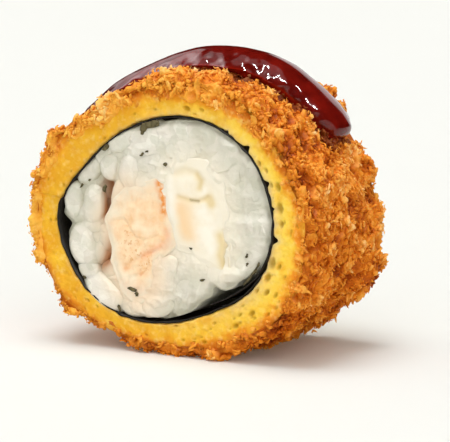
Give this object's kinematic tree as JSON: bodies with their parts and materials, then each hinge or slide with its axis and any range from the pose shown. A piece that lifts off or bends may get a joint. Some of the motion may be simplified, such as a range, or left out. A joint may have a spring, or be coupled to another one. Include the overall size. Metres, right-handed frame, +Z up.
{
  "type": "fried sushi roll",
  "caption": "Short round slice of fried sushi roll: rice, salmon and cream cheese in a seaweed sheet inside a crumbed batter ring, with a ribbon of dark sauce on top.",
  "frame": {"origin": "middle of the base that the slice rests on, under the centre of its box", "axes": "+Z up; the roll's axis runs along Y, so the cut faces look to -Y and +Y; X runs across the roll"},
  "size_m": [0.0592, 0.029, 0.0539],
  "materials": {
    "crumb_crust": "deep-fried breadcrumbs, golden brown and rough, over yellow spongy batter",
    "seaweed": "thin dried seaweed sheet, near black with a slight sheen",
    "cooked_rice": "moist, pressed white rice, slightly see-through",
    "salmon_flesh": "pale cooked salmon, fibrous and moist",
    "soft_cheese": "smooth cream cheese with a soft sheen",
    "dark_sauce": "thick sweet sauce, dark red-brown and very glossy"
  },
  "bodies": {
    "root": {"breaded_batter": "crumb_crust", "nori": "seaweed", "rice": "cooked_rice", "salmon": "salmon_flesh", "cream_cheese": "soft_cheese", "sauce": "dark_sauce"}
  },
  "joints": []
}
